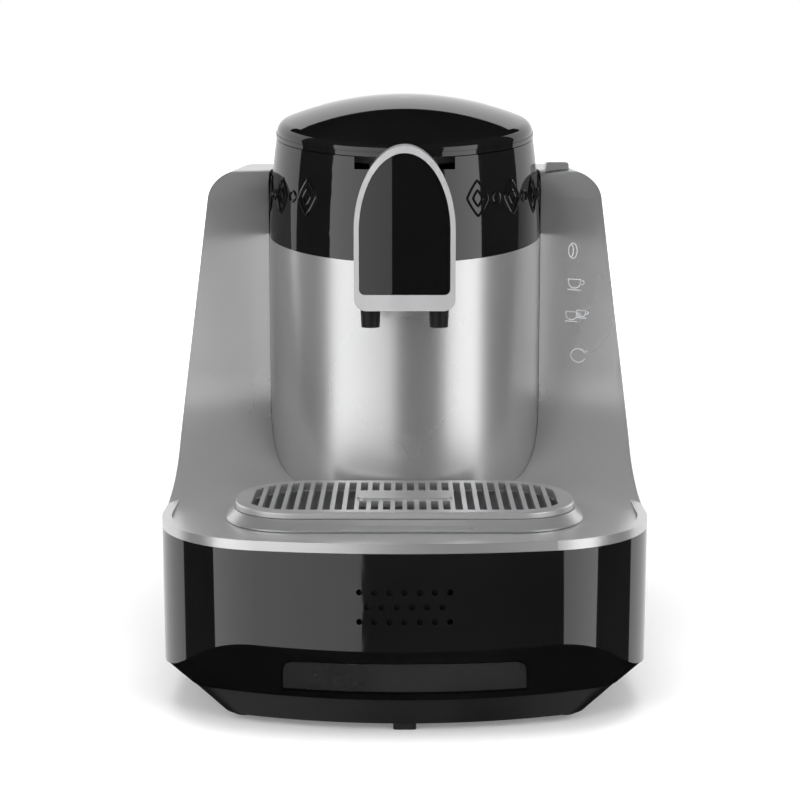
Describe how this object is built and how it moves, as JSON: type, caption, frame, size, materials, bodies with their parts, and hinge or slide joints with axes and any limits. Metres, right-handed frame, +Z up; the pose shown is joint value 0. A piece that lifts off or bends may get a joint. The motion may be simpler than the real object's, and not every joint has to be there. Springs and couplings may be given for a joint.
{
  "type": "electric turkish coffee maker",
  "caption": "Countertop Turkish coffee maker: round brewing tower with hinged lid, arched twin spout, dished deck with wings, drip tray and rear water tank.",
  "frame": {"origin": "centre of the machine's footprint box, on the surface it stands on", "axes": "+X to the machine's right seen from the front, +Y from front to back, +Z up"},
  "size_m": [0.23, 0.285, 0.2889],
  "materials": {
    "silver_satin": "satin metallic silver lacquer",
    "black_gloss": "high gloss black moulding",
    "black_satin": "fine satin black moulding",
    "silver_trim": "satin chrome trim",
    "window_gloss": "polished black window",
    "grille_metal": "brushed drip grille",
    "steel_inner": "drawn stainless steel",
    "aluminium_cast": "cast heater body",
    "rubber_black": "moulded rubber",
    "silicone_grey": "silicone seal and hose",
    "tank_smoke": "smoked clear tank plastic",
    "board_green": "solder mask",
    "part_grey": "grey moulded part",
    "screw_steel": "zinc plated steel"
  },
  "bodies": {
    "machine": {"base_pan": "black_satin", "base_screws": "screw_steel", "feet": "rubber_black", "lower_housing": "black_gloss", "chassis": "part_grey", "speaker": "black_satin", "cord_gland": "rubber_black", "body_shell": "silver_satin", "tower_shell": "silver_satin", "tower_band": "black_gloss", "chamber_collar": "black_satin", "chamber_cradle": "part_grey", "heater_plate": "aluminium_cast", "heating_element": "steel_inner", "thermostat": "part_grey", "brew_chamber": "steel_inner", "transfer_tube": "steel_inner", "hinge_bracket": "black_satin", "hinge_pin": "screw_steel", "latch_guide": "part_grey", "latch_spring": "screw_steel", "nose_housing": "silver_satin", "nose_frame": "silver_trim", "nose_window": "window_gloss", "nozzle_left": "black_satin", "nozzle_right": "black_satin", "spout_manifold": "part_grey", "tray_well": "black_satin", "tank_bay": "black_satin", "dock_block": "part_grey", "dock_seal": "silicone_grey", "pump": "part_grey", "pump_mounts": "rubber_black", "supply_hose": "silicone_grey", "feed_hose": "silicone_grey", "vent_valve": "part_grey", "vent_hose": "silicone_grey", "board_posts": "part_grey", "control_board": "board_green", "board_parts": "part_grey", "touch_sensor": "board_green"},
    "lid": {"lid_shell": "black_gloss", "lid_liner": "black_satin", "lid_gasket": "silicone_grey"},
    "lid_release": {"release_tab": "silver_satin", "latch_bar": "part_grey"},
    "drip_tray_body": {"drip_tray": "silver_satin"},
    "drip_grille_body": {"drip_grille": "grille_metal"},
    "water_tank_body": {"water_tank": "tank_smoke", "tank_outlet": "tank_smoke", "tank_filter": "steel_inner"}
  },
  "joints": [
    {"name": "lid_hinge", "type": "hinge", "parent": "machine", "child": "lid", "pos_m": [0, 0.114, 0.272], "axis": [-1, 0, 0], "range_deg": [0, 75]},
    {"name": "release_slide", "type": "slide", "parent": "machine", "child": "lid_release", "axis": [1, 0, 0], "range_m": [0, 0.004], "stiffness_N_per_m": 400, "deforming": ["latch_spring"]},
    {"name": "tray_lift", "type": "slide", "parent": "machine", "child": "drip_tray_body", "axis": [0, 0, 1], "range_m": [0, 0.03]},
    {"name": "grille_lift", "type": "slide", "parent": "drip_tray_body", "child": "drip_grille_body", "axis": [0, 0, 1], "range_m": [0, 0.02]},
    {"name": "tank_slide", "type": "slide", "parent": "machine", "child": "water_tank_body", "axis": [0, 1, 0], "range_m": [0, 0.04]}
  ]
}
